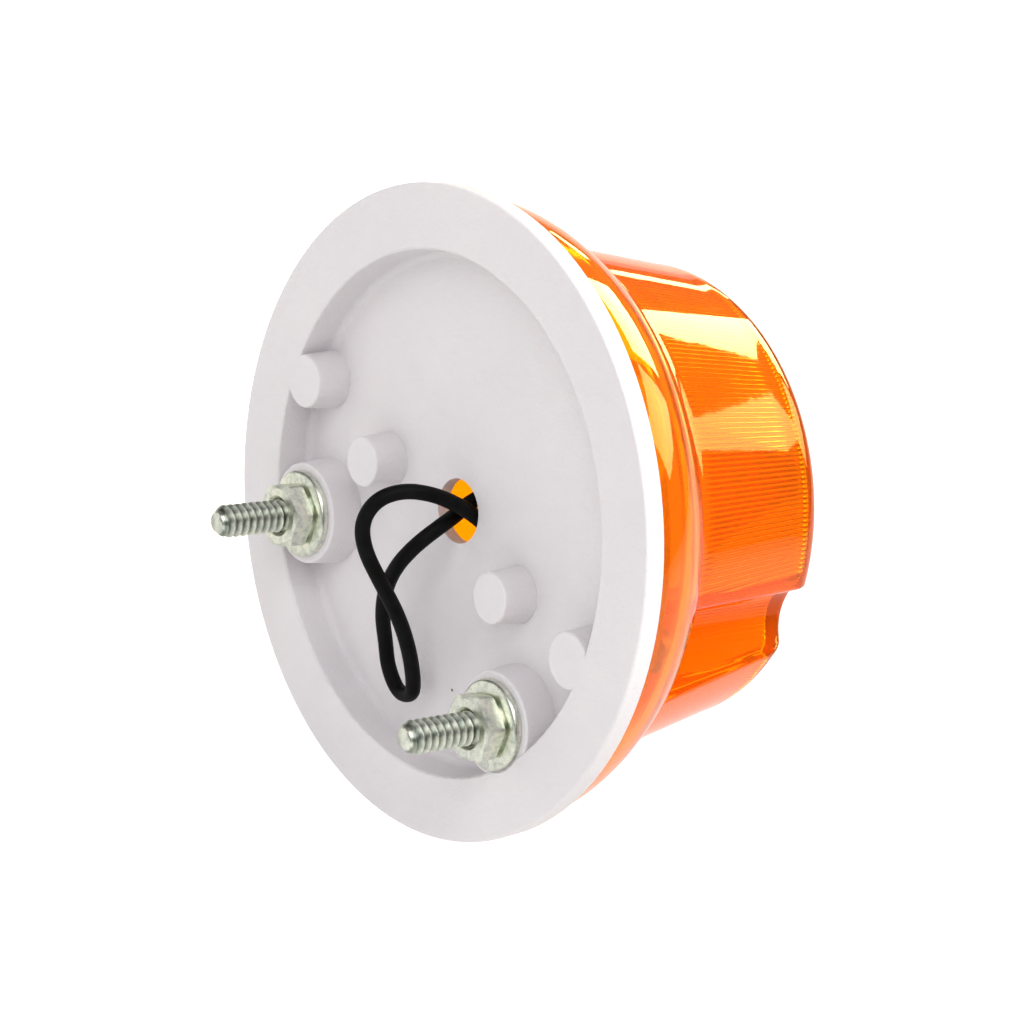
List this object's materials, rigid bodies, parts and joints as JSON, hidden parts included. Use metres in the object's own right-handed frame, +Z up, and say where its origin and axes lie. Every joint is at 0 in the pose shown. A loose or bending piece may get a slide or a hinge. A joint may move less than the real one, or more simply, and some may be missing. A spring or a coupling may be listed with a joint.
{
  "type": "stud-mounted signal lamp",
  "caption": "Round amber signal lamp: white recessed base with two rear studs, nuts and washers, a looped black lead, and a ribbed drum lens over a bayonet bulb.",
  "frame": {"origin": "centre of the flat rear rim, in the plane that seats on the panel", "axes": "+Y out of the back along the studs, +Z up as the lamp hangs (studs below centre), +X to the left seen from the back"},
  "size_m": [0.092, 0.0596, 0.092],
  "materials": {
    "white_plastic": "fine moulded texture",
    "amber_plastic": "clear amber, gloss outside, ribbed inside",
    "seal_rubber": "matte",
    "zinc_steel": "zinc plated, pale passivation",
    "plated_brass": "satin",
    "brown_board": "pressed board",
    "spring_steel": "drawn wire",
    "solder": "dull",
    "clear_glass": "clear",
    "black_sleeve": "soft satin",
    "copper": "bare strands"
  },
  "bodies": {
    "housing": {"base_housing": "white_plastic", "amber_lens": "amber_plastic", "lens_seal": "seal_rubber", "lens_screws": "zinc_steel", "socket_bracket": "zinc_steel", "bracket_screws": "zinc_steel", "socket_shell": "plated_brass", "socket_insulator": "brown_board", "socket_terminal": "plated_brass", "contact_spring": "spring_steel", "stud_left": "zinc_steel", "stud_right": "zinc_steel", "lead_wire": "black_sleeve", "bare_wire_end": "copper"},
    "bulb": {"bulb_cap": "plated_brass", "bulb_contact": "solder", "bulb_glass": "clear_glass", "bulb_supports": "spring_steel", "bulb_filament": "spring_steel"},
    "plunger": {"contact_plunger": "plated_brass"},
    "washer_left": {"washer_left": "zinc_steel"},
    "nut_left": {"nut_left": "zinc_steel"},
    "washer_right": {"washer_right": "zinc_steel"},
    "nut_right": {"nut_right": "zinc_steel"}
  },
  "joints": [
    {"name": "washer_left_slide", "type": "slide", "parent": "housing", "child": "washer_left", "axis": [0, 1, 0], "range_m": [0, 0.0078]},
    {"name": "nut_left_turn", "type": "hinge", "parent": "washer_left", "child": "nut_left", "pos_m": [0.0254, 0.0025, -0.0175], "axis": [0, 1, 0], "range_deg": [0, 2345]},
    {"name": "washer_right_slide", "type": "slide", "parent": "housing", "child": "washer_right", "axis": [0, 1, 0], "range_m": [0, 0.0078]},
    {"name": "nut_right_turn", "type": "hinge", "parent": "washer_right", "child": "nut_right", "pos_m": [-0.0254, 0.0025, -0.0175], "axis": [0, 1, 0], "range_deg": [0, 2345]},
    {"name": "bulb_push", "type": "slide", "parent": "housing", "child": "bulb", "axis": [0, 0, -1], "range_m": [0, 0.0015], "stiffness_N_per_m": 3000, "springref_m": -0.001},
    {"name": "plunger_push", "type": "slide", "parent": "housing", "child": "plunger", "axis": [0, 0, -1], "range_m": [0, 0.0015], "deforming": ["contact_spring"]}
  ],
  "couplings": [
    {"joint": "nut_left_turn", "follows": "washer_left_slide", "rad_per_m": 5236},
    {"joint": "nut_right_turn", "follows": "washer_right_slide", "rad_per_m": 5236},
    {"joint": "plunger_push", "follows": "bulb_push", "ratio": 1}
  ]
}
